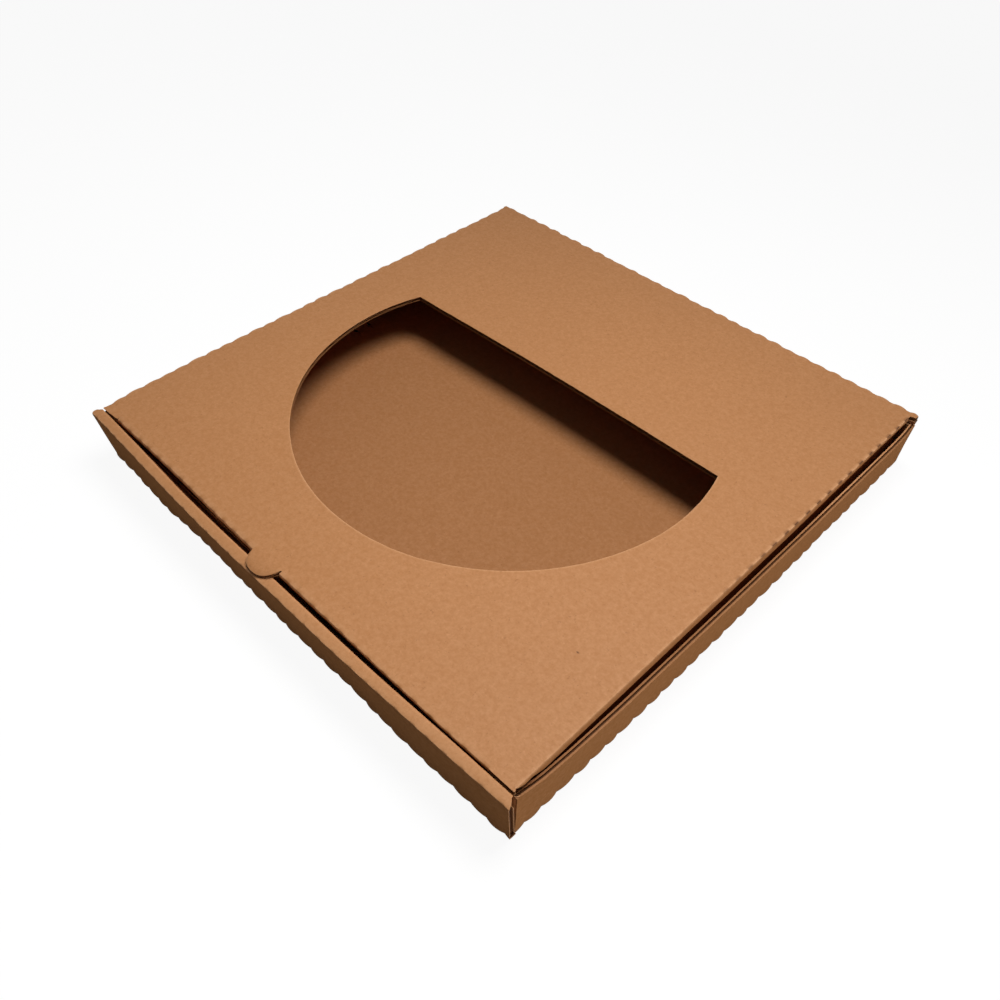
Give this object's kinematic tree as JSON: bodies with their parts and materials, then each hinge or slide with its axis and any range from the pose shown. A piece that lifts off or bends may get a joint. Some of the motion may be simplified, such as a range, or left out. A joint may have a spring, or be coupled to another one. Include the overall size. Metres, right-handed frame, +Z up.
{
  "type": "windowed pizza box",
  "caption": "Square corrugated pizza box with a half-moon window in its hinged lid, a rolled front wall, tucked-in flaps and a thumb tab.",
  "frame": {"origin": "middle of the floor's underside", "axes": "+X along the front wall, +Y from the front wall to the lid's hinge, +Z up"},
  "size_m": [0.343, 0.3414, 0.038],
  "materials": {
    "kraft_tray": "matte",
    "kraft_lid": "matte"
  },
  "bodies": {
    "tray": {"tray": "kraft_tray"},
    "lid": {"lid": "kraft_lid"}
  },
  "joints": [
    {"name": "lid_hinge", "type": "hinge", "parent": "tray", "child": "lid", "pos_m": [0, 0.16575, 0.0365], "axis": [-1, 0, 0], "range_deg": [0, 180]}
  ]
}
